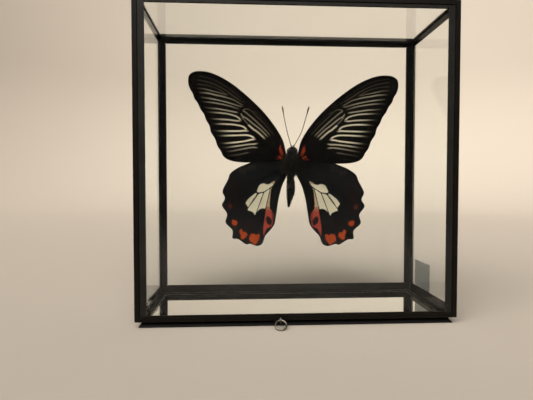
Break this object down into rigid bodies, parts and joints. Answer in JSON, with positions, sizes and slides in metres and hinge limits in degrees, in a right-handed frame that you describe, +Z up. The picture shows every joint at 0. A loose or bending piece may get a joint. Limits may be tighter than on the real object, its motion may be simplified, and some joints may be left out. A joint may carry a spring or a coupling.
{
  "type": "butterfly in glass box",
  "caption": "Spread black swallowtail butterfly with white and red hindwing patches, inside an upright black metal-edged glass box on a thin mirrored plinth, with a loose pull ring.",
  "frame": {"origin": "centre of the plinth's underside, which the part stands on", "axes": "+Z up; the front face, with the pull ring, faces -Y; left and right are as seen from the front, so +X is the right-hand side with the label"},
  "size_m": [0.15, 0.0591, 0.151],
  "materials": {
    "black_board": "satin black",
    "mirror": "polished",
    "black_metal": "satin black patina",
    "clear_glass": "clear",
    "bright_steel": "bright",
    "grey_label": "matte",
    "insect_body": "hairy, matte",
    "forewing_scales": "matte",
    "hindwing_scales": "matte",
    "insect_horn": "semi-gloss",
    "clear_glue": "clear, set hard"
  },
  "bodies": {
    "case": {"plinth": "black_board", "mirror_floor": "mirror", "post_front_left": "black_metal", "post_front_right": "black_metal", "post_back_left": "black_metal", "post_back_right": "black_metal", "rail_front_top": "black_metal", "rail_front_bottom": "black_metal", "rail_back_top": "black_metal", "rail_back_bottom": "black_metal", "rail_left_top": "black_metal", "rail_left_bottom": "black_metal", "rail_right_top": "black_metal", "rail_right_bottom": "black_metal", "pane_front": "clear_glass", "pane_back": "clear_glass", "pane_left": "clear_glass", "pane_right": "clear_glass", "pane_top": "clear_glass", "ring_eye": "bright_steel", "label": "grey_label", "butterfly_body": "insect_body", "forewing_left": "forewing_scales", "forewing_right": "forewing_scales", "hindwing_left": "hindwing_scales", "hindwing_right": "hindwing_scales", "antenna_left": "insect_horn", "antenna_right": "insect_horn", "leg_front_left": "insect_horn", "leg_front_right": "insect_horn", "leg_middle_left": "insect_horn", "leg_middle_right": "insect_horn", "leg_hind_left": "insect_horn", "leg_hind_right": "insect_horn", "glue_dab": "clear_glue"},
    "ring": {"ring": "bright_steel"}
  },
  "joints": [
    {"name": "ring_swing", "type": "hinge", "parent": "case", "child": "ring", "pos_m": [-0.0085, -0.02815, 0.0035], "axis": [-1, 0, 0], "range_deg": [0, 135]}
  ]
}
